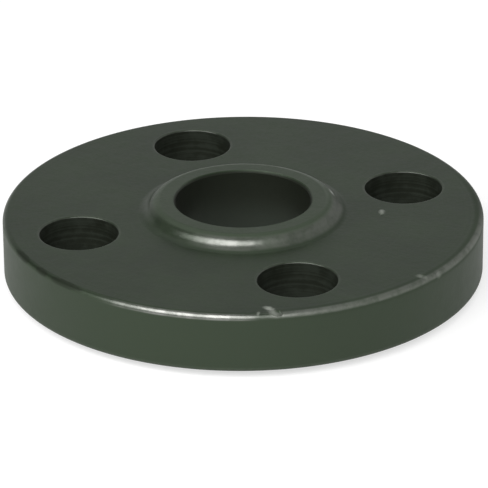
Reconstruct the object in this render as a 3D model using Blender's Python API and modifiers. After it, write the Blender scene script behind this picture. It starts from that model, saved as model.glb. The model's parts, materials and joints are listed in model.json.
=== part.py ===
"""Slip-on pipe flange with a raised sealing face, four bolt holes and a short hub.

Run it with: blender --background --python part.py

Units are metres and +Z is up. The flange lies on its sealing face with the hub on top.
The origin is where the bore's axis meets the sealing face, and the axis is +Z.
A real one is a single forging that is turned on a lathe and then drilled, so it is one
solid here too: a half section is turned about Z, and four drills are taken out of it.
"""

import math

import bpy

MM = 0.001

# The bore, and the pipe that slips through it
PIPE_DIAMETER = 26.7 * MM
PIPE_CLEARANCE = 0.5 * MM
BORE_CHAMFER_HUB_END = 0.5 * MM
BORE_CHAMFER_FACE_END = 0.4 * MM

# The hub, a low collar around the bore, with generous draft and rounds as it left the forging die
HUB_WALL = 6.25 * MM
HUB_HEIGHT = 2.6 * MM
HUB_DRAFT = math.radians(34.0)
HUB_SHOULDER_RADIUS = 2.7 * MM
HUB_ROOT_RADIUS = 2.9 * MM

# The ring that the bolts clamp
RING_THICKNESS = 12.3 * MM
RIM_BACK_RADIUS = 1.2 * MM
RIM_FRONT_RADIUS = 0.5 * MM
RIM_TO_HOLE = 6.35 * MM

# The bolt holes, evenly spaced on their circle
BOLT_COUNT = 4
BOLT_DIAMETER = 12.7 * MM
BOLT_CLEARANCE = 1.6 * MM
BOLT_HOLE_CHAMFER = 0.4 * MM
HUB_TO_HOLE = 6.85 * MM

# The raised sealing face under the ring, where the gasket seats
SEAT_WIDTH = 7.6 * MM
SEAT_HEIGHT = 1.6 * MM
SEAT_EDGE_CHAMFER = 0.3 * MM
SEAT_ROOT_RADIUS = 0.5 * MM

# Radii that follow from the sizes above
BORE_RADIUS = PIPE_DIAMETER / 2 + PIPE_CLEARANCE
HUB_BASE_RADIUS = BORE_RADIUS + HUB_WALL
HUB_TOP_RADIUS = HUB_BASE_RADIUS - HUB_HEIGHT * math.tan(HUB_DRAFT)
BOLT_HOLE_RADIUS = BOLT_DIAMETER / 2 + BOLT_CLEARANCE
BOLT_CIRCLE_RADIUS = HUB_BASE_RADIUS + HUB_TO_HOLE + BOLT_HOLE_RADIUS
OUTER_RADIUS = BOLT_CIRCLE_RADIUS + BOLT_HOLE_RADIUS + RIM_TO_HOLE
SEAT_RADIUS = BORE_RADIUS + SEAT_WIDTH

# Heights above the sealing face
RING_FRONT = SEAT_HEIGHT
RING_BACK = RING_FRONT + RING_THICKNESS
HUB_END = RING_BACK + HUB_HEIGHT

# How finely curves are divided
TURNED_STEPS = 96
DRILLED_STEPS = 40
ARC_STEP = math.radians(15.0)
DRILL_OVERRUN = 1.0 * MM
WELD_DISTANCE = 1e-6
SHARP_ANGLE = math.radians(30.0)

PAINT_COLOUR = (0.020, 0.027, 0.018, 1.0)
PAINT_ROUGHNESS = 0.36


def clear_scene():
    """Removes what a new scene starts with."""
    for old in list(bpy.data.objects):
        bpy.data.objects.remove(old, do_unlink=True)


def new_collection(name):
    collection = bpy.data.collections.new(name)
    bpy.context.scene.collection.children.link(collection)
    return collection


def black_paint():
    """Dark green-grey lacquer over forged steel."""
    material = bpy.data.materials.new("black_paint")
    material.use_nodes = True
    shader = material.node_tree.nodes["Principled BSDF"]
    shader.inputs["Base Color"].default_value = PAINT_COLOUR
    shader.inputs["Roughness"].default_value = PAINT_ROUGHNESS
    shader.inputs["Metallic"].default_value = 0.0
    material.diffuse_color = PAINT_COLOUR
    return material


def unit(start, end):
    """The unit vector from one section point to another, and their distance."""
    across, along = end[0] - start[0], end[1] - start[1]
    length = math.hypot(across, along)
    return (across / length, along / length), length


def chamfered(before, corner, after, width):
    """The two points that replace a corner cut off at the same distance along both its sides."""
    (back, _), (ahead, _) = unit(corner, before), unit(corner, after)
    return [
        (corner[0] + back[0] * width, corner[1] + back[1] * width),
        (corner[0] + ahead[0] * width, corner[1] + ahead[1] * width),
    ]


def rounded(before, corner, after, radius):
    """The points of the arc that touches both sides of a corner, limited to half of the shorter side."""
    (back, back_length), (ahead, ahead_length) = unit(corner, before), unit(corner, after)
    half_angle = math.acos(back[0] * ahead[0] + back[1] * ahead[1]) / 2
    setback = min(radius / math.tan(half_angle), back_length / 2, ahead_length / 2)
    radius = setback * math.tan(half_angle)
    to_centre = radius / math.sin(half_angle) / (2 * math.cos(half_angle))
    centre = (
        corner[0] + (back[0] + ahead[0]) * to_centre,
        corner[1] + (back[1] + ahead[1]) * to_centre,
    )
    turn = math.pi - 2 * half_angle
    steps = max(2, math.ceil(turn / ARC_STEP))
    start = math.atan2(
        corner[1] + back[1] * setback - centre[1], corner[0] + back[0] * setback - centre[0]
    )
    if back[0] * ahead[1] - back[1] * ahead[0] > 0:
        turn = -turn
    return [
        (
            centre[0] + radius * math.cos(start + turn * step / steps),
            centre[1] + radius * math.sin(start + turn * step / steps),
        )
        for step in range(steps + 1)
    ]


def section_outline(corners):
    """The closed outline through (radius, height, finish, size) corners, each one rounded or chamfered."""
    points = []
    for index, (radius, height, finish, size) in enumerate(corners):
        before = corners[index - 1][:2]
        after = corners[(index + 1) % len(corners)][:2]
        points += finish(before, (radius, height), after, size)
    return points


def flange_section():
    """The half section, down its outer side from the hub's end and back up through the bore."""
    return section_outline(
        [
            (BORE_RADIUS, HUB_END, chamfered, BORE_CHAMFER_HUB_END),
            (HUB_TOP_RADIUS, HUB_END, rounded, HUB_SHOULDER_RADIUS),
            (HUB_BASE_RADIUS, RING_BACK, rounded, HUB_ROOT_RADIUS),
            (OUTER_RADIUS, RING_BACK, rounded, RIM_BACK_RADIUS),
            (OUTER_RADIUS, RING_FRONT, rounded, RIM_FRONT_RADIUS),
            (SEAT_RADIUS, RING_FRONT, rounded, SEAT_ROOT_RADIUS),
            (SEAT_RADIUS, 0.0, chamfered, SEAT_EDGE_CHAMFER),
            (BORE_RADIUS, 0.0, chamfered, BORE_CHAMFER_FACE_END),
        ]
    )


def drill_section():
    """The half section of a drill that runs right through and breaks the hole's edge at both faces."""
    top = RING_BACK + DRILL_OVERRUN
    bottom = -DRILL_OVERRUN
    upper_edge = RING_BACK - BOLT_HOLE_CHAMFER
    lower_edge = RING_FRONT + BOLT_HOLE_CHAMFER
    return [
        (0.0, top),
        (BOLT_HOLE_RADIUS + top - upper_edge, top),
        (BOLT_HOLE_RADIUS, upper_edge),
        (BOLT_HOLE_RADIUS, lower_edge),
        (BOLT_HOLE_RADIUS + lower_edge - bottom, bottom),
        (0.0, bottom),
    ]


def turned(name, outline, is_loop, steps, collection):
    """An object whose outline, in the XZ plane, is turned a full circle about its own Z axis."""
    last = len(outline) - 1
    edges = [(index, index + 1) for index in range(last)]
    if is_loop:
        edges.append((last, 0))
    mesh = bpy.data.meshes.new(name)
    mesh.from_pydata([(radius, 0.0, height) for radius, height in outline], edges, [])
    body = bpy.data.objects.new(name, mesh)
    collection.objects.link(body)
    lathe = body.modifiers.new("lathe", "SCREW")
    lathe.axis = "Z"
    lathe.angle = 2 * math.pi
    lathe.steps = steps
    lathe.render_steps = steps
    lathe.use_merge_vertices = True
    lathe.merge_threshold = WELD_DISTANCE
    return body


def add_drills(blank, collection):
    """Takes one drill out of the turned blank for each bolt, midway between the X and Y axes first."""
    for index in range(BOLT_COUNT):
        angle = (index + 0.5) * 2 * math.pi / BOLT_COUNT
        drill = turned(f"drill_{index + 1}", drill_section(), False, DRILLED_STEPS, collection)
        drill.location = (
            BOLT_CIRCLE_RADIUS * math.cos(angle),
            BOLT_CIRCLE_RADIUS * math.sin(angle),
            0.0,
        )
        drill.hide_render = True
        drill.display_type = "WIRE"
        cut = blank.modifiers.new(drill.name, "BOOLEAN")
        cut.operation = "DIFFERENCE"
        cut.object = drill


def finished(blank, name, material, collection):
    """The drilled blank as one plain mesh, smooth where it is round and sharp at its corners."""
    bpy.context.view_layer.update()
    evaluated = blank.evaluated_get(bpy.context.evaluated_depsgraph_get())
    mesh = bpy.data.meshes.new_from_object(evaluated)
    mesh.name = name
    mesh.materials.clear()
    mesh.materials.append(material)
    mesh.shade_smooth()
    mesh.set_sharp_from_angle(angle=SHARP_ANGLE)
    flange = bpy.data.objects.new(name, mesh)
    collection.objects.link(flange)
    return flange


def main():
    clear_scene()
    product = new_collection("slip_on_flange_parts")
    helpers = new_collection("blank_and_drills")
    blank = turned("turned_blank", flange_section(), True, TURNED_STEPS, helpers)
    add_drills(blank, helpers)
    finished(blank, "slip_on_flange", black_paint(), product)
    blank.hide_render = True
    blank.display_type = "WIRE"


main()
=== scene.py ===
# %% [markdown]
# # Dressing a slip-on pipe flange
#
# A slip-on flange is a steel ring that slides over the end of a pipe and is welded to it. Four bolts
# through the ring pull it against its twin, with a gasket squeezed between their raised faces. This one is
# small, about 98 mm across, and it was forged, turned, drilled and dipped in a thin dark lacquer.
#
# That solid is faceted, so it would look like a many-sided nut close up. This lesson turns a finer body
# over the same sizes, gives it the knocks and the finish that a real one has, and then sets a camera and
# lights round it.

# %% Load the fixed solid
import json
import math

import bmesh
import bpy
from mathutils import Matrix, Vector
from mathutils.bvhtree import BVHTree

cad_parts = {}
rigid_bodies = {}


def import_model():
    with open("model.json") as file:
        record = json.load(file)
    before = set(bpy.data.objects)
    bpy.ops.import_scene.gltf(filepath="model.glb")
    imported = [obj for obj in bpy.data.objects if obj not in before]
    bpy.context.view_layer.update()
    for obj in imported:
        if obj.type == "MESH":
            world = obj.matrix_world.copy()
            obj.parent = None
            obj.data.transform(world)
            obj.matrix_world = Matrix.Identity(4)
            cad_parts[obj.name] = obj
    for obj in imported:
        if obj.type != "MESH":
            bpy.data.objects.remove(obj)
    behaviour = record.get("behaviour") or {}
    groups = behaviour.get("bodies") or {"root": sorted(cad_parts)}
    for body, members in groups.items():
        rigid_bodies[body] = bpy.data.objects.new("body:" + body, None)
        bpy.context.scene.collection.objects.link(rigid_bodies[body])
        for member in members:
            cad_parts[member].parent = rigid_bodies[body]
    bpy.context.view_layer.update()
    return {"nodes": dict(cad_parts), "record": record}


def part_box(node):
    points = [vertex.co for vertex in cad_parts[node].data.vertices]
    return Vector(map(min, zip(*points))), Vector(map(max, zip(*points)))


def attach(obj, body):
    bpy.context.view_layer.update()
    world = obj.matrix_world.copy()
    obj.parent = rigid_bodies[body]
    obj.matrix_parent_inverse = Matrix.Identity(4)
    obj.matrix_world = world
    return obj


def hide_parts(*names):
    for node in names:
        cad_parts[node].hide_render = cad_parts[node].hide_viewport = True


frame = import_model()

MM = 0.001


# %% [markdown]
# ## The sizes that the solid already knows
#
# Writing a size twice is how two models drift apart, so whatever the solid can tell is asked of it. Its box
# gives the outer radius and the height of the hub's end. Its mounts, the places where a stranger would
# fasten something, give the height of the face that the nuts bear on and the radius of the bolt circle.

# %% Read sizes from the solid
solid = frame["nodes"]["slip_on_flange"]
solid_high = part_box("slip_on_flange")[1]
mounts = {mount["name"]: Vector(mount["pos_m"]) for mount in frame["record"]["mounts"]}
OUTER_RADIUS = solid_high.x
HUB_END = solid_high.z
RING_BACK = mounts["nut_face"].z
BOLT_CIRCLE_RADIUS = mounts["nut_face"].x
print("outer radius", round(OUTER_RADIUS / MM, 2), "mm")
print("bolt circle radius", round(BOLT_CIRCLE_RADIUS / MM, 2), "mm")

# %% [markdown]
# The rest are the flange's own: a bore that clears a 26.7 mm pipe, a hub with a rounded shoulder, a hole
# that clears a 12.7 mm bolt, and a seat, the raised ring underneath that the gasket is squeezed against. The
# small radii matter as much as the big ones, because a rounded edge is what catches the light.

# %% State the other sizes
BORE_RADIUS = 13.85 * MM
BORE_CHAMFER_HUB_END = 0.5 * MM
BORE_CHAMFER_FACE_END = 0.4 * MM
HUB_BASE_RADIUS = 20.1 * MM
HUB_DRAFT = math.radians(34.0)
HUB_SHOULDER_RADIUS = 2.7 * MM
HUB_ROOT_RADIUS = 2.9 * MM
RIM_BACK_RADIUS = 1.2 * MM
RIM_FRONT_RADIUS = 0.5 * MM
BOLT_HOLE_RADIUS = 7.95 * MM
BOLT_HOLE_EDGE = 0.4 * MM
SEAT_HEIGHT = 1.6 * MM
SEAT_RADIUS = 21.45 * MM
SEAT_EDGE_CHAMFER = 0.3 * MM
SEAT_ROOT_RADIUS = 0.5 * MM
GROOVE_PITCH = 0.8 * MM
GROOVE_DEPTH = 0.05 * MM

RING_FRONT = SEAT_HEIGHT
RING_MIDDLE = (RING_FRONT + RING_BACK) / 2
RING_THICKNESS = RING_BACK - RING_FRONT
HUB_HEIGHT = HUB_END - RING_BACK
HUB_TOP_RADIUS = HUB_BASE_RADIUS - HUB_HEIGHT * math.tan(HUB_DRAFT)
print("ring", round(RING_THICKNESS / MM, 2), "mm thick, hub", round(HUB_HEIGHT / MM, 2), "mm high")

# %% [markdown]
# ## Helpers for working in edit mode
#
# By hand, one clicks a vertex and then calls a tool. In a script the clicking is done by asking each vertex,
# edge or face where it is. `pick` does that: it selects the elements whose middle passes a test and says how
# many there were, which is the quickest way to notice a test that caught nothing.
#
# A tool acts on all that is selected, so `choose` first drops everything else.

# %% Edit mode helpers
CLOSE = 0.001 * MM


def near(value, target):
    """Whether two lengths are the same, but for rounding."""
    return abs(value - target) < CLOSE


def choose(piece):
    """Selects one object and nothing else, and makes it the active one."""
    bpy.ops.object.select_all(action="DESELECT")
    piece.select_set(True)
    bpy.context.view_layer.objects.active = piece


def edit_only(piece):
    """Puts one object, and nothing else, in edit mode with nothing selected."""
    choose(piece)
    bpy.ops.object.mode_set(mode="EDIT")
    bpy.ops.mesh.select_all(action="DESELECT")


def finish_editing():
    """Leaves edit mode."""
    bpy.ops.object.mode_set(mode="OBJECT")


def settle(piece):
    """Moves an object's place, turn and scale into its mesh."""
    choose(piece)
    bpy.ops.object.transform_apply(location=True, rotation=True, scale=True)


def middle_of(element):
    """Where a vertex is, or the middle of an edge or a face."""
    if isinstance(element, bmesh.types.BMVert):
        return element.co
    points = [corner.co for corner in element.verts]
    return sum(points, Vector()) / len(points)


def pick(kind, wanted):
    """Selects the "VERT", "EDGE" or "FACE" elements whose middle passes the test, and counts them."""
    bpy.ops.mesh.select_mode(type=kind)
    bpy.ops.mesh.select_all(action="DESELECT")
    mesh = bmesh.from_edit_mesh(bpy.context.object.data)
    elements = {"VERT": mesh.verts, "EDGE": mesh.edges, "FACE": mesh.faces}[kind]
    count = 0
    for element in elements:
        if wanted(middle_of(element)):
            element.select_set(True)
            count += 1
    mesh.select_flush_mode()
    bmesh.update_edit_mesh(bpy.context.object.data)
    return count


# %% [markdown]
# ## The half section
#
# A turned part is the same all the way round, so a drawing of it is one half of its section. That is also
# how it is modelled: one flat face in the XZ plane, from the bore's wall out to the rim. It starts as a
# plane primitive the size of the ring's section. Two cuts mark where the hub and the seat end, and then the
# edge under the hub is pulled up and the edges over the seat are pulled down.

# %% Draw the half section
RIGHT_ANGLE = math.radians(90)

bpy.ops.object.select_all(action="DESELECT")
bpy.ops.mesh.primitive_plane_add(
    size=1,
    location=((BORE_RADIUS + OUTER_RADIUS) / 2, 0, RING_MIDDLE),
    rotation=(RIGHT_ANGLE, 0, 0),
)
body = bpy.context.object
body.name = "turned_flange"
body.data.name = "turned_flange"
body.scale = (OUTER_RADIUS - BORE_RADIUS, RING_THICKNESS, 1)
settle(body)

edit_only(body)
for cut_radius in (HUB_BASE_RADIUS, SEAT_RADIUS):
    bpy.ops.mesh.select_all(action="SELECT")
    bpy.ops.mesh.bisect(plane_co=(cut_radius, 0, 0), plane_no=(1, 0, 0))

hub_edges = pick("EDGE", lambda place: near(place.z, RING_BACK) and place.x < HUB_BASE_RADIUS)
bpy.ops.mesh.extrude_region_move(TRANSFORM_OT_translate={"value": (0, 0, HUB_HEIGHT)})
seat_edges = pick("EDGE", lambda place: near(place.z, RING_FRONT) and place.x < SEAT_RADIUS)
bpy.ops.mesh.extrude_region_move(TRANSFORM_OT_translate={"value": (0, 0, -SEAT_HEIGHT)})
print("hub edges", hub_edges, "seat edges", seat_edges)

# %% [markdown]
# The hub's flank leans inwards, so its upper corner moves in by the draft. The cuts have done their work and
# are dissolved, which leaves a single face with one vertex at each corner of the section.

# %% Lean the hub's flank and dissolve the cuts
STRAIGHT = math.radians(1)

pick("VERT", lambda place: near(place.z, HUB_END) and near(place.x, HUB_BASE_RADIUS))
bpy.ops.transform.translate(value=(HUB_TOP_RADIUS - HUB_BASE_RADIUS, 0, 0))
bpy.ops.mesh.select_mode(type="FACE")
bpy.ops.mesh.select_all(action="SELECT")
bpy.ops.mesh.dissolve_faces()
bpy.ops.mesh.select_all(action="SELECT")
bpy.ops.mesh.dissolve_limited(angle_limit=STRAIGHT)
print("corners left", len(bmesh.from_edit_mesh(body.data).verts))

# %% [markdown]
# ## Breaking and rounding the corners
#
# No corner of a real flange is sharp. The lathe breaks the corners that it cuts, and the forging die leaves
# round ones at the hub, since hot steel won't fill a sharp corner. In the half section each corner is one
# vertex, so each takes one vertex bevel. A bevel of one segment is a chamfer. More segments make an arc, and
# the distance that the tool wants is how far back along both sides the arc starts, which is the radius
# divided by the tangent of half the corner's angle.

# %% Round the corners
ARC_SEGMENTS = 10
HALF_HUB_CORNER = (RIGHT_ANGLE + HUB_DRAFT) / 2


def soften(radius, height, distance, segments):
    """Bevels the one corner of the section at this radius and height."""
    found = pick("VERT", lambda place: near(place.x, radius) and near(place.z, height))
    bpy.ops.mesh.bevel(
        offset=distance, offset_type="OFFSET", segments=segments, affect="VERTICES", profile=0.5
    )
    return found


CORNERS = (
    # radius, height, distance, segments
    (BORE_RADIUS, HUB_END, BORE_CHAMFER_HUB_END, 1),
    (HUB_TOP_RADIUS, HUB_END, HUB_SHOULDER_RADIUS / math.tan(HALF_HUB_CORNER), ARC_SEGMENTS),
    (HUB_BASE_RADIUS, RING_BACK, HUB_ROOT_RADIUS / math.tan(HALF_HUB_CORNER), ARC_SEGMENTS),
    (OUTER_RADIUS, RING_BACK, RIM_BACK_RADIUS, ARC_SEGMENTS),
    (OUTER_RADIUS, RING_FRONT, RIM_FRONT_RADIUS, ARC_SEGMENTS),
    (SEAT_RADIUS, RING_FRONT, SEAT_ROOT_RADIUS, ARC_SEGMENTS),
    (SEAT_RADIUS, 0.0, SEAT_EDGE_CHAMFER, 1),
    (BORE_RADIUS, 0.0, BORE_CHAMFER_FACE_END, 1),
)
softened = [soften(*corner) for corner in CORNERS]
print("corners found, one each:", softened)

# %% [markdown]
# ## Grooves in the seat
#
# The seat isn't smooth. A round-nosed tool leaves fine rings there, about 0.8 mm apart and 0.05 mm deep, and
# the gasket flows into them. In the half section the seat is one edge, so it is divided evenly and every
# second new vertex is lifted by the depth of a groove.

# %% Cut the seat's grooves
seat_inner = BORE_RADIUS + BORE_CHAMFER_FACE_END
seat_outer = SEAT_RADIUS - SEAT_EDGE_CHAMFER
groove_count = round((seat_outer - seat_inner) / GROOVE_PITCH)
half_pitch = (seat_outer - seat_inner) / (2 * groove_count)
pick("EDGE", lambda place: near(place.z, 0.0) and seat_inner < place.x < seat_outer)
bpy.ops.mesh.subdivide(number_cuts=2 * groove_count - 1)


def in_groove(place):
    """Whether a vertex of the divided seat is an odd one, and so the bottom of a groove."""
    step = round((place.x - seat_inner) / half_pitch)
    return near(place.z, 0.0) and seat_inner < place.x < seat_outer and step % 2 == 1


grooves = pick("VERT", in_groove)
bpy.ops.transform.translate(value=(0, 0, GROOVE_DEPTH))
print("grooves", grooves, "at a pitch of", round(2 * half_pitch / MM, 3), "mm")

# %% [markdown]
# ## Turning the section
#
# The face is thrown away and its outline is spun through a full turn, like the work in a lathe. The last
# ring of vertices lands on the first, so the two are merged, and only then are the normals made to point
# outwards. There are 384 steps, a number that four holes divide evenly, and each step spans 0.8 mm at the
# rim.

# %% Turn it
TURN_STEPS = 384
bpy.ops.mesh.select_mode(type="FACE")
bpy.ops.mesh.select_all(action="SELECT")
bpy.ops.mesh.delete(type="ONLY_FACE")
bpy.ops.mesh.select_mode(type="VERT")
bpy.ops.mesh.select_all(action="SELECT")
bpy.ops.mesh.spin(steps=TURN_STEPS, angle=math.tau, center=(0, 0, 0), axis=(0, 0, 1))
bpy.ops.mesh.select_all(action="SELECT")
bpy.ops.mesh.remove_doubles(threshold=CLOSE)
bpy.ops.mesh.normals_make_consistent(inside=False)
finish_editing()


def open_edges(piece):
    """How many edges don't lie between exactly two faces. A closed skin has none."""
    mesh = bmesh.new()
    mesh.from_mesh(piece.data)
    count = sum(not edge.is_manifold for edge in mesh.edges)
    mesh.free()
    return count


print("turned body:", len(body.data.polygons), "faces, open edges:", open_edges(body))

# %% [markdown]
# ## Drilling the bolt holes
#
# A drill alone leaves a sharp lip that the lacquer would run off, so the holes are deburred first. The
# cutter therefore flares at both ends: it is a cylinder whose end faces are extruded outwards in small steps
# along a quarter circle, and then on past the faces of the ring. One cutter is modelled, and the other three
# are copies turned about the flange's axis.

# %% Start one cutter
DRILL_SIDES = 96
FIRST_HOLE_ANGLE = math.radians(45)
first_hole = Matrix.Rotation(FIRST_HOLE_ANGLE, 4, "Z") @ Vector((BOLT_CIRCLE_RADIUS, 0, 0))

bpy.ops.object.select_all(action="DESELECT")
bpy.ops.mesh.primitive_cylinder_add(
    vertices=DRILL_SIDES,
    radius=BOLT_HOLE_RADIUS,
    depth=RING_THICKNESS - 2 * BOLT_HOLE_EDGE,
    location=(first_hole.x, first_hole.y, RING_MIDDLE),
)
cutter = bpy.context.object
cutter.name = "drill_1"
settle(cutter)
print("cutter at", round(first_hole.x / MM, 2), round(first_hole.y / MM, 2), "mm")

# %% [markdown]
# The quarter circle stops a little short of flat, at 84 degrees, and goes on straight from there, so that
# the cutter crosses the ring's face at a clear angle. Surfaces that only touch are what upsets a Boolean.

# %% Flare both ends of the cutter
FLARE_STEPS = 6
FLARE_ANGLE = math.radians(84)
OVERRUN = 0.5 * MM


def flare_profile():
    """The radius and the height of each step of a flare, from the hole's wall to past the face."""
    steps = []
    for step in range(1, FLARE_STEPS + 1):
        angle = FLARE_ANGLE * step / FLARE_STEPS
        spread = BOLT_HOLE_EDGE * (1 - math.cos(angle))
        steps.append((BOLT_HOLE_RADIUS + spread, BOLT_HOLE_EDGE * math.sin(angle)))
    last_radius, last_height = steps[-1]
    rise = 2 * (BOLT_HOLE_EDGE - last_height)
    widest = last_radius + rise * math.tan(FLARE_ANGLE)
    steps.append((widest, last_height + rise))
    steps.append((widest, BOLT_HOLE_EDGE + OVERRUN))
    return steps


def flare_end(direction):
    """Extrudes one end of the cutter along the flare: the upper one for 1, the lower one for -1."""
    edit_only(cutter)
    end = RING_MIDDLE + direction * (RING_THICKNESS / 2 - BOLT_HOLE_EDGE)
    pick("FACE", lambda place: near(place.z, end))
    radius, height = BOLT_HOLE_RADIUS, 0.0
    for next_radius, next_height in flare_profile():
        rise = (0, 0, direction * (next_height - height))
        bpy.ops.mesh.extrude_region_move(TRANSFORM_OT_translate={"value": rise})
        grow = next_radius / radius
        bpy.ops.transform.resize(
            value=(grow, grow, 1), center_override=(first_hole.x, first_hole.y, 0)
        )
        radius, height = next_radius, next_height
    finish_editing()


flare_end(1)
flare_end(-1)
print("cutter:", len(cutter.data.polygons), "faces, open edges:", open_edges(cutter))

# %% [markdown]
# The cutters take the holes out with Boolean modifiers, which are applied at once and the cutters thrown
# away.

# %% Drill the four holes
BOLT_COUNT = 4


def copy_of(piece, name):
    """A copy of a piece with its own mesh."""
    twin = piece.copy()
    twin.data = piece.data.copy()
    twin.name = name
    bpy.context.collection.objects.link(twin)
    return twin


def combine(piece, tool, operation):
    """Applies a Boolean of a tool to a piece, and removes the tool."""
    choose(piece)
    bpy.ops.object.modifier_add(type="BOOLEAN")
    modifier = piece.modifiers[-1]
    modifier.operation = operation
    modifier.solver = "EXACT"
    modifier.object = tool
    bpy.ops.object.modifier_apply(modifier=modifier.name)
    bpy.data.objects.remove(tool, do_unlink=True)


cutters = [cutter] + [copy_of(cutter, f"drill_{number}") for number in range(2, BOLT_COUNT + 1)]
for number, tool in enumerate(cutters):
    tool.data.transform(Matrix.Rotation(number * math.tau / BOLT_COUNT, 4, "Z"))
    combine(body, tool, "DIFFERENCE")
print("drilled body:", len(body.data.polygons), "faces, open edges:", open_edges(body))

# %% [markdown]
# ## Knocks and scrapes
#
# Flanges are shipped loose in a crate, and they knock against each other. This one has a scrape that starts
# on the face and runs over the rim's edge in front, with a small tick beside it, a fainter scrape of the
# same kind to the right, a chip beside that, a nick in the hub's shoulder, and three blunt knocks along the
# edge on the left. One lump of paint stands proud on the face beside a bolt hole.
#
# Each of them is made with an egg shape. A cut takes an egg out of the body and the lump of paint adds one.
# A scrape that runs over the edge takes two eggs, one for each side of the corner. Five numbers place an
# egg: the angle round the axis, the distance from the axis, the height, how far it dips towards the rim, and
# how far it slants away from pointing straight outwards. The half lengths say how far it reaches outwards,
# across and downwards, and only an egg's flat end dips into the steel. Paleness says how pale the mark is in
# its middle. On the lump of paint that paleness is a painted highlight. A mark with none is a knock painted
# dark, a painted reflection of the dark surroundings.

# %% List the marks
MARKS = (
    # name, angle, radius, height, dip, slant, half lengths, paleness
    ("scrape_in_front", -56.7, 46.6, 14.40, 2, 40, (2.10, 1.25, 0.60), 0.60),
    ("scrape_over_rim", -55.8, 48.4, 14.20, 24, 34, (2.30, 1.40, 0.60), 0.36),
    ("tick_in_front", -59.5, 48.5, 14.18, 24, -20, (1.10, 0.60, 0.50), 0.35),
    ("scrape_on_right", -15.4, 47.5, 14.34, 6, 8, (1.50, 1.20, 0.55), 0.26),
    ("scrape_over_rim_on_right", -15.0, 48.7, 14.12, 34, 4, (1.30, 0.90, 0.50), 0.20),
    ("chip_on_right", -10.7, 49.40, 13.27, 60, 0, (1.10, 1.20, 0.50), 0.22),
    ("nick_in_hub", 41.0, 19.10, 16.02, 44, 0, (0.90, 2.70, 0.50), 0.75),
    # The knocks are painted dark, a painted reflection of the dark surroundings along the left edge.
    ("knock_1", -127.5, 49.30, 14.02, 45, 0, (0.80, 3.10, 0.45), 0),
    ("knock_2", -117.8, 49.34, 14.05, 45, -6, (0.75, 2.10, 0.43), 0),
    ("knock_3", -109.2, 49.32, 14.04, 45, 3, (0.80, 4.20, 0.45), 0),
    # The lump's paleness is a painted highlight.
    ("lump_of_paint", 23.6, 28.4, 13.62, 0, 0, (0.95, 1.90, 0.50), 0.42),
)
RAISED_MARK = "lump_of_paint"
print("marks listed:", len(MARKS), "of which blunt knocks:", sum(not mark[-1] for mark in MARKS))

# %% [markdown]
# The lacquer has to find the same eggs later, to paint their marks, so place and turn come from one helper.

# %% Make the marks
EGG_SEGMENTS = 32
EGG_RINGS = 16


def mark_place(angle, radius, height, dip, slant):
    """Where a mark's egg sits, in metres, and how it is turned."""
    turn = math.radians(angle)
    place = (radius * MM * math.cos(turn), radius * MM * math.sin(turn), height * MM)
    return place, (0, math.radians(dip), math.radians(angle + slant))


for name, *where, half, paleness in MARKS:
    place, turn = mark_place(*where)
    bpy.ops.object.select_all(action="DESELECT")
    bpy.ops.mesh.primitive_uv_sphere_add(
        segments=EGG_SEGMENTS, ring_count=EGG_RINGS, radius=1, location=place, rotation=turn
    )
    egg = bpy.context.object
    egg.name = name
    egg.scale = [length * MM for length in half]
    settle(egg)
    combine(body, egg, "UNION" if name == RAISED_MARK else "DIFFERENCE")
print("marks made:", len(MARKS), "open edges:", open_edges(body))

# %% [markdown]
# ## Smooth where it is round
#
# The body is still drawn as flat faces. Smooth shading hides the steps of the turning, but it must stop at
# real corners, so edges sharper than 30 degrees stay sharp. The long thin faces beside the cut marks would
# bend the shading of the flat ones next to them. A Weighted Normal modifier prevents that, because it lets
# the large faces decide.

# %% Shade it smooth
SHARP_ANGLE = math.radians(30)


def shade(piece):
    """Smooth where the surface is round, sharp at its corners, and flat faces kept flat."""
    choose(piece)
    bpy.ops.object.shade_smooth_by_angle(angle=SHARP_ANGLE)
    bpy.ops.object.modifier_add(type="WEIGHTED_NORMAL")
    modifier = piece.modifiers[-1]
    modifier.keep_sharp = True
    bpy.ops.object.modifier_apply(modifier=modifier.name)


shade(body)
print("sharp edges:", sum(edge.use_edge_sharp for edge in body.data.edges))

# %% [markdown]
# ## Does it still match the solid?
#
# Before the body takes the solid's place, each of its vertices looks for the nearest point of the solid. The
# marks are the deepest difference, a third of a millimetre, and the rest comes from the solid's facets. The
# last two lines make the body move with the root body and hide the solid.

# %% Check it against the solid
shape_of_solid = BVHTree.FromObject(solid, bpy.context.evaluated_depsgraph_get())
gaps = [shape_of_solid.find_nearest(vertex.co)[3] for vertex in body.data.vertices]
print("furthest from the solid:", round(max(gaps) / MM, 3), "mm")

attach(body, "root")
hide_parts("slip_on_flange")

# %% [markdown]
# ## A way to write shader maths
#
# A finish is a web of nodes, and a web built line by line is hard to read. `Wire` wraps one output of a
# node, so that `1 - mask * 0.5` adds the Math nodes for that sum. `Finish` holds one material, and its
# `node` is the only place that adds a node: it takes the kind, then the settings that have to come first,
# then a value or a wire for each input.

# %% Shader helpers


class Wire:
    """One output of a node, which adds, subtracts and multiplies like a number."""

    def __init__(self, finish, socket):
        self.finish = finish
        self.socket = socket

    def __add__(self, other):
        return self.finish.maths("ADD", self, other)

    __radd__ = __add__

    def __mul__(self, other):
        return self.finish.maths("MULTIPLY", self, other)

    __rmul__ = __mul__

    def __sub__(self, other):
        return self.finish.maths("SUBTRACT", self, other)

    def __rsub__(self, other):
        return self.finish.maths("SUBTRACT", other, self)


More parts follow.
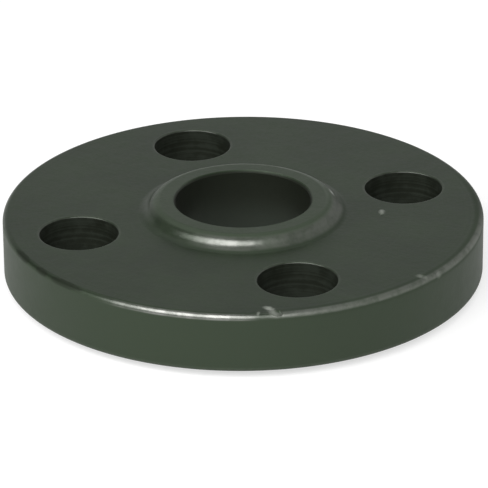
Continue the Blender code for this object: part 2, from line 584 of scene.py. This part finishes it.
class Finish:
    """A material made from nodes."""

    def __init__(self, name):
        self.material = bpy.data.materials.new(name)
        self.material.use_nodes = True
        self.tree = self.material.node_tree
        self.tree.nodes.clear()

    def node(self, kind, settings=None, inputs=None, output=0):
        """Adds a node and returns the wire from one of its outputs."""
        new = self.tree.nodes.new(kind)
        for name, value in (settings or {}).items():
            setattr(new, name, value)
        for name, value in (inputs or {}).items():
            if isinstance(value, Wire):
                self.tree.links.new(value.socket, new.inputs[name])
            else:
                new.inputs[name].default_value = value
        return Wire(self, new.outputs[output]) if new.outputs else None

    def maths(self, operation, first, second=0.0):
        """One Math node."""
        return self.node("ShaderNodeMath", {"operation": operation}, {0: first, 1: second})

    def larger(self, first, second):
        """The larger of two values."""
        return self.maths("MAXIMUM", first, second)

    def hypotenuse(self, first, second):
        """How long a slope is that goes this far along and this far up."""
        return self.maths("SQRT", first * first + second * second)

    def length(self, vector):
        """The length of a vector."""
        return self.node("ShaderNodeVectorMath", {"operation": "LENGTH"}, {0: vector}, "Value")

    def mask(self, value, none_at, full_at):
        """A smooth mask: 0 where the value is at or past none_at, 1 where it is at or past full_at."""
        ends = {"Value": value, "From Min": none_at, "From Max": full_at}
        return self.node("ShaderNodeMapRange", {"interpolation_type": "SMOOTHSTEP"}, ends)

    def noise(self, where, scale, detail=2.0, roughness=0.5, dimensions="3D"):
        """A noise between 0 and 1, 0.5 on average. The scale is in blotches for each metre."""
        inputs = {"W" if dimensions == "1D" else "Vector": where}
        inputs.update({"Scale": scale, "Detail": detail, "Roughness": roughness})
        return self.node("ShaderNodeTexNoise", {"noise_dimensions": dimensions}, inputs)

    def blend(self, factor, first, second):
        """A colour that goes from the first to the second as the factor goes from 0 to 1."""
        return self.node("ShaderNodeMix", {"data_type": "RGBA"}, {0: factor, 6: first, 7: second}, 2)


# %% [markdown]
# ## The lacquer
#
# The finish is a film of dark green-grey lacquer, a few hundredths of a millimetre thick, over steel. It
# isn't one colour. It lies thicker in some places than in others, so its tone and its gloss drift over a few
# millimetres. The rings that the lathe left show through it as very fine ridges. Where flanges have rubbed
# together, on the rounded edges of rim and hub, the film is thin and the steel shines through a little, and
# the scrapes are pale.
#
# Everything is worked out from Object coordinates, in metres, so the pattern stays on the part from any
# side. The first step is to turn a place into a distance from the axis and a height, because that is how a
# turned part is marked. A hole has an axis of its own, and since the four of them lie alike in the four
# quarters, folding the quarters together finds the nearest one.

# %% Lacquer: where a point is
lacquer = Finish("dark_lacquer")
place = lacquer.node("ShaderNodeTexCoord", output="Object")
split = {"Vector": place}
x = lacquer.node("ShaderNodeSeparateXYZ", inputs=split, output="X")
y = lacquer.node("ShaderNodeSeparateXYZ", inputs=split, output="Y")
height = lacquer.node("ShaderNodeSeparateXYZ", inputs=split, output="Z")
radius = lacquer.hypotenuse(x, y)
hole_x = lacquer.maths("ABSOLUTE", x) - first_hole.x
hole_y = lacquer.maths("ABSOLUTE", y) - first_hole.y
from_hole = lacquer.hypotenuse(hole_x, hole_y)
round_from_front = lacquer.maths("ARCTAN2", x, 0 - y) * math.degrees(1)


def distance_to_ring(ring_radius, ring_height, from_axis=radius):
    """How far a point is from a circle round the flange's axis, or round the one from_axis counts from."""
    return lacquer.hypotenuse(from_axis - ring_radius, height - ring_height)


print("nodes so far:", len(lacquer.tree.nodes))

# %% [markdown]
# Next come the places that get a colour or gloss of their own, each as a mask: the walls of the holes and
# the bore, where shade is painted, the turned side of the rim, and the land, which is the flat end of the
# hub, and the shoulder round it, where a sheen is painted.

# %% Lacquer: walls, side, land and shoulder
in_hole = lacquer.mask(from_hole, BOLT_HOLE_RADIUS + 0.14 * MM, BOLT_HOLE_RADIUS + 0.02 * MM)
in_bore = lacquer.mask(radius, BORE_RADIUS + 0.45 * MM, BORE_RADIUS + 0.1 * MM)
on_side = lacquer.mask(radius, OUTER_RADIUS - 0.4 * MM, OUTER_RADIUS - 0.05 * MM)
inside_shoulder = lacquer.mask(radius, HUB_TOP_RADIUS - 0.4 * MM, HUB_TOP_RADIUS - 1.2 * MM)
on_land = inside_shoulder * lacquer.mask(height, HUB_END - 0.2 * MM, HUB_END - 0.05 * MM)
from_shoulder = distance_to_ring(HUB_TOP_RADIUS - 0.7 * MM, HUB_END - 0.2 * MM)
on_shoulder = lacquer.mask(from_shoulder, 1.2 * MM, 0.5 * MM)
print("nodes so far:", len(lacquer.tree.nodes))

# %% [markdown]
# The tone drifts at three scales: a broad one of about 15 mm, a fine one of about 3 mm and a grain of less
# than 1 mm. A fourth noise, `patchy`, is kept for the wear and for the borders of the marks. The rings come
# from a noise along one line only. Its coordinate is the distance from the axis plus the height, so that the
# lathe's rings lie side by side on the flat faces and one above the other on the rim and in the bore. In the
# holes it is the height alone, because the drill cut those rings.

# %% Lacquer: noises
BROAD_SCALE = 65
FINE_SCALE = 330
PATCH_SCALE = 420
GRAIN_SCALE = 1300
RING_SCALE = 1500

broad = lacquer.noise(place, BROAD_SCALE, detail=2)
fine = lacquer.noise(place, FINE_SCALE, detail=3, roughness=0.6)
patchy = lacquer.noise(place, PATCH_SCALE, detail=4, roughness=0.65)
grain = lacquer.noise(place, GRAIN_SCALE, detail=2, roughness=0.6)
across_rings = radius * (1 - in_hole) + height
rings = lacquer.noise(across_rings, RING_SCALE, detail=3, roughness=0.7, dimensions="1D")
print("broadest blotches about", round(1 / (BROAD_SCALE * MM)), "mm across")

# %% [markdown]
# The film's colour goes from dark to light with the sum of those noises. In the holes it is painted dark as
# painted shade, and the drill's marks show there as paler rings. Up the bore it is painted dark as painted
# shade too, and lighter at its foot, where a reflection of the floor is painted. The turned side is paler
# than the face. The shoulder and, by half, the land are painted paler as a painted sheen.

# %% Lacquer: colour of the film
LACQUER_DARK = (0.007, 0.0125, 0.0055, 1)
LACQUER_LIGHT = (0.015, 0.024, 0.012, 1)
LACQUER_SIDE = (0.029, 0.041, 0.025, 1)
# The dark colour of the painted shade in the holes and the bore, also used for the knocks.
PAINTED_SHADE_COLOUR = (0.008, 0.010, 0.006, 1)
DRILL_MARKS = (0.018, 0.022, 0.016, 1)
# The foot of the bore: a painted reflection of the floor.
BORE_FOOT_PAINTED_REFLECTION = (0.026, 0.032, 0.025, 1)
BROAD_SHARE = 0.38
FINE_SHARE = 0.32
GRAIN_SHARE = 0.17
RING_SHARE = 0.13
DARKEST_AT, LIGHTEST_AT = 0.36, 0.64
HOLE_SHADE_AT, DRILL_MARKS_AT = 0.42, 0.62
BORE_REFLECTION_UP_TO = 1 * MM
BORE_SHADE_FROM = 12 * MM
SIDE_PALER = 0.9
LAND_PAINTED_SHEEN = 0.5
SHOULDER_PAINTED_SHEEN = 0.8

drift = broad * BROAD_SHARE + fine * FINE_SHARE + grain * GRAIN_SHARE + rings * RING_SHARE
tone = lacquer.mask(drift, DARKEST_AT, LIGHTEST_AT)
colour = lacquer.blend(tone, LACQUER_DARK, LACQUER_LIGHT)
drilled = lacquer.mask(rings * 0.5 + fine * 0.5, HOLE_SHADE_AT, DRILL_MARKS_AT)
# The holes are painted dark, as painted shade, with the drill's marks as paler rings.
colour = lacquer.blend(in_hole, colour, lacquer.blend(drilled, PAINTED_SHADE_COLOUR, DRILL_MARKS))
# The bore is painted dark as painted shade, and lighter towards its foot as a painted reflection of the
# floor.
up_the_bore = lacquer.mask(height, BORE_REFLECTION_UP_TO, BORE_SHADE_FROM)
colour = lacquer.blend(in_bore, colour, lacquer.blend(up_the_bore, BORE_FOOT_PAINTED_REFLECTION, PAINTED_SHADE_COLOUR))
colour = lacquer.blend(on_side * SIDE_PALER, colour, LACQUER_SIDE)
# The land and the shoulder are painted paler: a painted sheen that stands in for their reflection of the
# room.
paler = lacquer.larger(on_land * LAND_PAINTED_SHEEN, on_shoulder * SHOULDER_PAINTED_SHEEN)
colour = lacquer.blend(paler, colour, LACQUER_SIDE)
print("nodes so far:", len(lacquer.tree.nodes))

# %% [markdown]
# Gloss is told in two ways. The roughness drifts with the noises and is higher on the side. And some places
# are matt: there the glossy film gives way to a dull one by a share, which is large in the holes and the
# bore, half on the side and small in fine specks all over.

# %% Lacquer: gloss and matt places
LACQUER_ROUGHNESS = 0.34
ROUGHER_WITH_FINE = 0.16
ROUGHER_WITH_BROAD = 0.1
ROUGHER_ON_SIDE = 0.15
MATT_WALLS = 0.75
MATT_SIDE = 0.5
MATT_SPECKS = 0.12
GRAIN_IN_SPECKS = 0.65
NO_SPECK_AT, SPECK_AT = 0.4, 0.66

gloss = LACQUER_ROUGHNESS + (fine - 0.5) * ROUGHER_WITH_FINE + (broad - 0.5) * ROUGHER_WITH_BROAD
gloss = gloss + on_side * ROUGHER_ON_SIDE
matt_places = lacquer.larger(lacquer.larger(in_hole, in_bore) * MATT_WALLS, on_side * MATT_SIDE)
specks = lacquer.mask(grain * GRAIN_IN_SPECKS + fine * (1 - GRAIN_IN_SPECKS), NO_SPECK_AT, SPECK_AT)
matt_places = lacquer.larger(matt_places, specks * MATT_SPECKS)
print("nodes so far:", len(lacquer.tree.nodes))

# %% [markdown]
# ## Wear on the edges
#
# Wear is a band along each rounded edge, and it isn't the same all the way round. Each worn patch says which
# edge it is on, how much steel shines through, and over which stretch, in degrees counted from the front
# towards the right. Rim and hub are worn most in front and less on the right, and the rest of the hub, the
# rim's lower edge and the lips of the bolt holes only a little. A noise breaks it all up.

# %% Lacquer: worn edges
RIM_ROUND = (OUTER_RADIUS - 0.2 * MM, RING_BACK - 0.55 * MM, 0.45 * MM, 0.85 * MM)
RIM_ROUND_ON_RIGHT = (OUTER_RADIUS - 0.35 * MM, RING_BACK - 0.35 * MM, 0.4 * MM, 0.95 * MM)
HUB_ROUND = (HUB_TOP_RADIUS + 0.9 * MM, HUB_END - 1.4 * MM, 0.9 * MM, 1.9 * MM)
FRONT_ROUND = (OUTER_RADIUS - 0.2 * MM, RING_FRONT + 0.2 * MM, 0.3 * MM, 0.8 * MM)
ALL_ROUND = (-360, -350, 350, 360)
WORN_PATCHES = (
    # edge, share, degrees round from the front: where it starts, is full, is full no more and ends
    (RIM_ROUND, 0.60, (-10, 9, 25, 32)),
    (RIM_ROUND_ON_RIGHT, 0.28, (27, 40, 100, 125)),
    (HUB_ROUND, 0.24, (-11, 20, 24, 42)),
    (HUB_ROUND, 0.14, (-11, 20, 110, 130)),
    (HUB_ROUND, 0.05, ALL_ROUND),
    (FRONT_ROUND, 0.05, ALL_ROUND),
)
LIP_WEAR = 0.08
WORN_EVENLY = 0.6
LEAST_WORN_AT, MOST_WORN_AT = 0.35, 0.6


def near_edge(ring_radius, ring_height, full_within, gone_beyond, from_axis=radius):
    """A mask along an edge: full close to its ring, and gone further off."""
    return lacquer.mask(distance_to_ring(ring_radius, ring_height, from_axis), gone_beyond, full_within)


def over_stretch(starts, full_from, full_to, ends):
    """A mask over a stretch of the way round, in degrees from the front."""
    rising = lacquer.mask(round_from_front, starts, full_from)
    return rising * lacquer.mask(round_from_front, ends, full_to)


lip = near_edge(BOLT_HOLE_RADIUS + 0.25 * MM, RING_BACK - 0.1 * MM, 0.15 * MM, 0.5 * MM, from_hole)
rubbed = lip * LIP_WEAR
for edge, share, stretch in WORN_PATCHES:
    rubbed = rubbed + near_edge(*edge) * share * over_stretch(*stretch)
uneven = lacquer.mask(patchy, LEAST_WORN_AT, MOST_WORN_AT)
worn = rubbed * (WORN_EVENLY + (1 - WORN_EVENLY) * uneven)
print("worn patches:", len(WORN_PATCHES), "nodes so far:", len(lacquer.tree.nodes))

# %% [markdown]
# The edges are duller on the right. A rounded edge mirrors the whole room in a narrow strip, with a thin
# line for each lamp. Where film and steel are rougher, those lines run together into one soft band, which is
# what the photograph shows there.

# %% Lacquer: dulled edges
DULLED_RIM = (OUTER_RADIUS - 0.6 * MM, RING_BACK - 0.4 * MM, 0.9 * MM, 1.7 * MM)
DULLED_HUB = (HUB_TOP_RADIUS + 0.9 * MM, HUB_END - 1.4 * MM, 1.7 * MM, 2.6 * MM)
DULLED_STRETCH = (28, 46, 120, 150)
STEEL_ROUGHNESS = 0.3
FILM_DULLED = 0.22
STEEL_DULLED = 0.25

dulled = lacquer.larger(near_edge(*DULLED_RIM), near_edge(*DULLED_HUB)) * over_stretch(*DULLED_STRETCH)
gloss = gloss + dulled * FILM_DULLED
steel_roughness = STEEL_ROUGHNESS + dulled * STEEL_DULLED
print("nodes so far:", len(lacquer.tree.nodes))

# %% [markdown]
# ## Paint the marks
#
# The marks use the eggs that made them. A Mapping node of the Texture type turns a place into the egg's own
# measure, in which its skin is at a distance of 1 from its middle. The third measure is shrunk, because the
# steel lies at the egg's flat end, and there mostly the place along and across the mark should count. Noise
# makes the border ragged. A pale mark fades from the colour of scraped steel in its middle to lacquer at its
# border, and on the lump of paint that paleness is a painted highlight. A blunt knock is painted dark, a
# painted reflection of the dark surroundings, and dull. Neither has the shine of a worn edge.

# %% Lacquer: pale scrapes and dark knocks
SCRAPED_STEEL_AND_HIGHLIGHT = (0.36, 0.38, 0.34, 1)
FLATTEN = (1, 1, 0.3)
RAGGED_PATCHES = 0.5
RAGGED_GRAIN = 0.3
NOT_PALE_AT, PALE_AT = 0.9, 0.2
NOT_DARK_AT, DARK_AT = 1.4, 0.9
KNOCK_PAINTED_DARK = 0.6
KNOCK_MATTER = 0.55


def across_mark(spot, turn, half):
    """How far a point is from a mark's middle: about 1 at its border, less inside."""
    scale = [length * MM for length in half]
    inputs = {"Vector": place, "Location": spot, "Rotation": turn, "Scale": scale}
    within = lacquer.node("ShaderNodeMapping", {"vector_type": "TEXTURE"}, inputs)
    flat = lacquer.node("ShaderNodeVectorMath", {"operation": "MULTIPLY"}, {0: within, 1: FLATTEN})
    ragged = (patchy - 0.5) * RAGGED_PATCHES + (grain - 0.5) * RAGGED_GRAIN
    return lacquer.length(flat) + ragged


pale = 0.0
knocks_painted_dark = 0.0
for name, *where, half, paleness in MARKS:
    across = across_mark(*mark_place(*where), half)
    if paleness:
        pale = lacquer.larger(pale, lacquer.mask(across, NOT_PALE_AT, PALE_AT) * paleness)
    else:
        knocks_painted_dark = lacquer.larger(knocks_painted_dark, lacquer.mask(across, NOT_DARK_AT, DARK_AT))
# The knocks are painted dark with the colour of painted shade, as a painted reflection of the dark
# surroundings.
colour = lacquer.blend(knocks_painted_dark * KNOCK_PAINTED_DARK, colour, PAINTED_SHADE_COLOUR)
# Pale marks take the colour of scraped steel. On the lump of paint that paleness is a painted highlight.
colour = lacquer.blend(pale, colour, SCRAPED_STEEL_AND_HIGHLIGHT)
matt_places = lacquer.larger(matt_places, knocks_painted_dark * KNOCK_MATTER)
worn = worn * (1 - lacquer.larger(pale, knocks_painted_dark))
print("nodes so far:", len(lacquer.tree.nodes))

# %% [markdown]
# ## Film over steel
#
# Three shaders are mixed: the glossy film, the matt film, and bare steel where the edges are worn. All of
# them share one skin. Its first layer is the lathe's rings, at most six thousandths of a millimetre high,
# and on top of those lies the mottle of the film. The film's reflection is tinted a little towards green,
# because that brings the colour of the lit parts nearer to the photograph.

# %% Lacquer: put it together
LACQUER_SPECULAR = 0.5
LACQUER_TINT = (0.84, 1.0, 0.80, 1)
STEEL = (0.42, 0.42, 0.40, 1)
MATT_SPECULAR = 0.15
MATT_ROUGHNESS = 0.65
RING_RIDGE = 0.006 * MM
MOTTLE_RIDGE = 0.04 * MM
GRAIN_IN_MOTTLE = 0.35

ridges = lacquer.node(
    "ShaderNodeBump", inputs={"Height": rings, "Distance": RING_RIDGE, "Strength": 1.0}
)
mottle = fine + grain * GRAIN_IN_MOTTLE
skin = lacquer.node(
    "ShaderNodeBump",
    inputs={"Height": mottle, "Distance": MOTTLE_RIDGE, "Strength": 1.0, "Normal": ridges},
)
film = lacquer.node(
    "ShaderNodeBsdfPrincipled",
    inputs={
        "Base Color": colour,
        "Roughness": gloss,
        "Specular IOR Level": LACQUER_SPECULAR,
        "Specular Tint": LACQUER_TINT,
        "Normal": skin,
    },
)
matt_film = lacquer.node(
    "ShaderNodeBsdfPrincipled",
    inputs={
        "Base Color": colour,
        "Roughness": MATT_ROUGHNESS,
        "Specular IOR Level": MATT_SPECULAR,
        "Normal": skin,
    },
)
steel = lacquer.node(
    "ShaderNodeBsdfPrincipled",
    inputs={"Base Color": STEEL, "Metallic": 1.0, "Roughness": steel_roughness, "Normal": skin},
)
painted = lacquer.node("ShaderNodeMixShader", inputs={0: matt_places, 1: film, 2: matt_film})
surface = lacquer.node("ShaderNodeMixShader", inputs={0: worn, 1: painted, 2: steel})
lacquer.node("ShaderNodeOutputMaterial", inputs={"Surface": surface})
body.data.materials.clear()
body.data.materials.append(lacquer.material)
print("nodes in the lacquer:", len(lacquer.tree.nodes))

# %% [markdown]
# ## The floor
#
# The photograph was taken on a white table. The floor is pale paper, and a little of its own glow, seen by
# the camera and by reflections but not by the light that it throws on the flange, brings it to white while
# it keeps the soft shadow.

# %% Lay the floor
FLOOR_SIZE = 12.0
FLOOR_GAP = 0.02 * MM
PAPER_COLOUR = (0.45, 0.45, 0.45, 1)
PAPER_GLOW = 0.62
WHITE = (1, 1, 1, 1)

bpy.ops.object.select_all(action="DESELECT")
bpy.ops.mesh.primitive_plane_add(size=FLOOR_SIZE, location=(0, 0, -FLOOR_GAP))
floor = bpy.context.object
floor.name = "pale_floor"

paper = Finish("white_paper")
seen = paper.node("ShaderNodeLightPath", output="Is Camera Ray")
seen = seen + paper.node("ShaderNodeLightPath", output="Is Glossy Ray")
seen = seen + paper.node("ShaderNodeLightPath", output="Is Transmission Ray")
glow = paper.node("ShaderNodeEmission", inputs={"Color": WHITE, "Strength": seen * PAPER_GLOW})
matt = paper.node("ShaderNodeBsdfDiffuse", inputs={"Color": PAPER_COLOUR})
sheet = paper.node("ShaderNodeAddShader", inputs={0: matt, 1: glow})
paper.node("ShaderNodeOutputMaterial", inputs={"Surface": sheet})
floor.data.materials.append(paper.material)
print("floor", FLOOR_SIZE, "m across, nodes in the paper:", len(paper.tree.nodes))

# %% [markdown]
# ## The camera
#
# The shape of the ellipses in the photograph gives the height that it was taken from, and how fast the far
# holes shrink gives its distance. Both come from a fit to the rim, the bore and the four holes: 25 degrees
# above the table and about 840 mm away, with a long lens. `direction_to` is shared with the lights.

# %% Set the camera
CAMERA_AZIMUTH = 27.24
CAMERA_ELEVATION = 25.04
CAMERA_ROLL = -0.451
CAMERA_DISTANCE = 841.2 * MM
CAMERA_LENS = 301.27
CAMERA_SENSOR = 36
NEAREST_SEEN = 0.05
FURTHEST_SEEN = 50
AIM_RIGHT = -0.11 * MM
AIM_UP = -4.13 * MM


def direction_to(azimuth, elevation):
    """The unit vector towards a place round the flange. Azimuth 0 is in front, at -Y, and 90 is at +X."""
    turn, rise = math.radians(azimuth), math.radians(elevation)
    reach = math.cos(rise)
    return Vector((math.sin(turn) * reach, -math.cos(turn) * reach, math.sin(rise)))


back = direction_to(CAMERA_AZIMUTH, CAMERA_ELEVATION)
level = Vector((0, 0, 1)).cross(back).normalized()
upright = back.cross(level)
roll = math.radians(CAMERA_ROLL)
right = math.cos(roll) * level + math.sin(roll) * upright
up = math.cos(roll) * upright - math.sin(roll) * level
eye = Vector((0, 0, RING_FRONT)) + back * CAMERA_DISTANCE - right * AIM_RIGHT - up * AIM_UP
bpy.ops.object.camera_add()
camera = bpy.context.object
camera.matrix_world = Matrix.Translation(eye) @ Matrix((right, up, back)).transposed().to_4x4()
camera.data.lens = CAMERA_LENS
camera.data.sensor_width = CAMERA_SENSOR
camera.data.clip_start = NEAREST_SEEN
camera.data.clip_end = FURTHEST_SEEN
bpy.context.scene.camera = camera
print("camera at", [round(value, 4) for value in eye], "m")

# %% [markdown]
# ## The lights
#
# The long bright line along the rim's edge and the bright patch on the hub's shoulder are one large soft
# box, mirrored in two rounded edges. It stands in front and to the left of the camera. A weaker panel on the
# right keeps the right edge from going dark. Two more stand opposite the camera, one low and one high,
# because the flat face mirrors what is behind it. An even grey room fills in the rest.

# %% Set the lights
PANELS = (
    # name, azimuth counted from the camera's, elevation, distance, width, height, radiance
    ("soft_box_left", -26, 43, 1.0, 1.9, 0.75, 4.2),
    ("panel_right", 98, 22, 1.0, 1.5, 0.6, 0.85),
    ("panel_behind", 180, 16, 1.2, 2.4, 0.7, 0.37),
    ("panel_above", 180, 66, 1.2, 1.6, 1.0, 0.6),
)
ROOM_LEVEL = 0.13


def panel(name, azimuth, elevation, distance, width, height, radiance):
    """A soft panel that faces the flange."""
    bpy.ops.object.light_add(type="AREA")
    lamp = bpy.context.object
    lamp.name = name
    towards = direction_to(CAMERA_AZIMUTH + azimuth, elevation)
    lamp.location = towards * distance
    lamp.rotation_euler = towards.to_track_quat("Z", "Y").to_euler()
    lamp.data.shape = "RECTANGLE"
    lamp.data.size = width
    lamp.data.size_y = height
    lamp.data.energy = radiance * width * height * math.pi


for row in PANELS:
    panel(*row)

world = bpy.data.worlds.new("grey_room")
bpy.context.scene.world = world
world.use_nodes = True
room = world.node_tree.nodes["Background"].inputs
room["Color"].default_value = WHITE
room["Strength"].default_value = ROOM_LEVEL
bpy.context.scene.view_settings.view_transform = "Standard"
print("panels:", len(PANELS), "room level:", ROOM_LEVEL)
